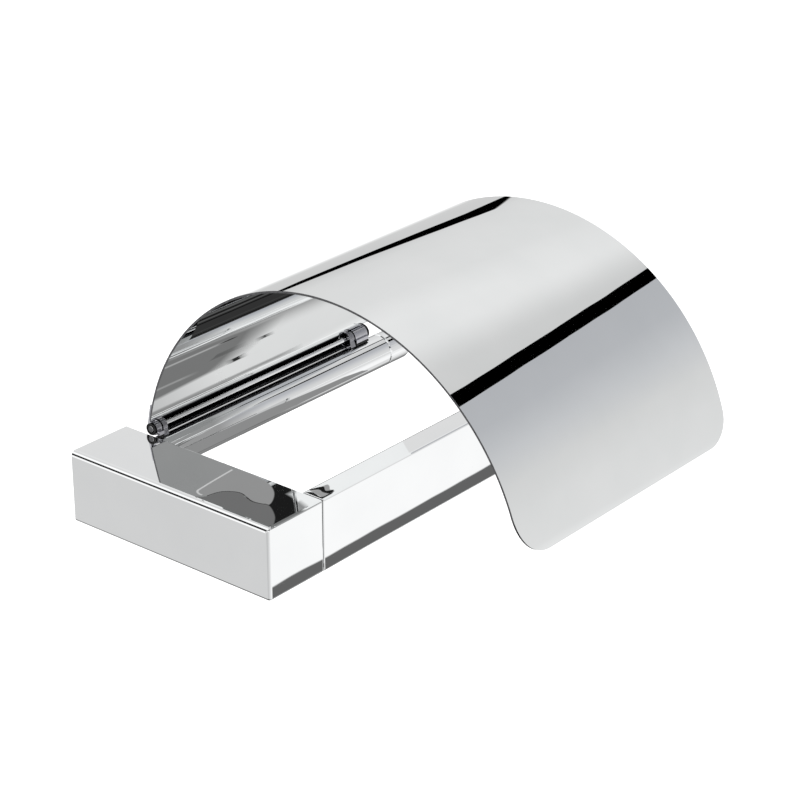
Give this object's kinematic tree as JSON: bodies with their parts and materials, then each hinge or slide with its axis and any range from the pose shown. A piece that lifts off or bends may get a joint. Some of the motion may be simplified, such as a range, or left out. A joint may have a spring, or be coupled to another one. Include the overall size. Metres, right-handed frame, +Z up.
{
  "type": "toilet paper holder",
  "caption": "Wall-mounted toilet paper holder: square side arm, flat roll bar open at one end, round rear bar and a curved cover sheet hinged on a rod.",
  "frame": {"origin": "middle of the arm's wall face, on the wall plane", "axes": "+Z up, +Y into the wall (outward normal of the wall face), +X along the wall towards the open end of the bars"},
  "size_m": [0.1485, 0.1611, 0.0918],
  "materials": {
    "arm_chrome": "mirror-polished chrome on brass",
    "front_bar_chrome": "mirror-polished chrome on brass",
    "back_bar_chrome": "mirror-polished chrome tube",
    "end_cap_chrome": "mirror-polished chrome",
    "end_block_chrome": "mirror-polished chrome",
    "cover_chrome": "mirror-polished chrome sheet",
    "hem_black": "glossy black",
    "rod_steel": "bright drawn steel",
    "lug_steel": "dark plated, satin",
    "knuckle_nickel": "black nickel, polished",
    "ring_steel": "blackened spring steel",
    "pad_rubber": "matt",
    "bracket_zinc": "plain die-cast zinc",
    "plug_brass": "machined",
    "screw_steel": "zinc-plated",
    "grub_steel": "stainless"
  },
  "bodies": {
    "frame": {"arm_shell": "arm_chrome", "arm_wall_bracket": "bracket_zinc", "arm_grub_screw": "grub_steel", "front_bar": "front_bar_chrome", "front_bar_tenon": "plug_brass", "front_bar_end_cap": "end_cap_chrome", "front_bar_screw": "screw_steel", "back_bar": "back_bar_chrome", "back_bar_spigot": "plug_brass", "back_bar_end_block": "end_block_chrome", "back_bar_screw": "screw_steel", "hinge_rod": "rod_steel", "hinge_lug_left": "lug_steel", "hinge_lug_right": "lug_steel", "hinge_ring_left": "ring_steel", "hinge_ring_right": "ring_steel"},
    "cover": {"cover_sheet": "cover_chrome", "cover_hem": "hem_black", "cover_knuckle_left": "knuckle_nickel", "cover_knuckle_right": "knuckle_nickel", "stop_pad_left": "pad_rubber", "stop_pad_right": "pad_rubber"}
  },
  "joints": [
    {"name": "cover_hinge", "type": "hinge", "parent": "frame", "child": "cover", "pos_m": [0.0675, -0.0106, 0.0142], "axis": [-1, 0, 0], "range_deg": [0, 36]}
  ]
}
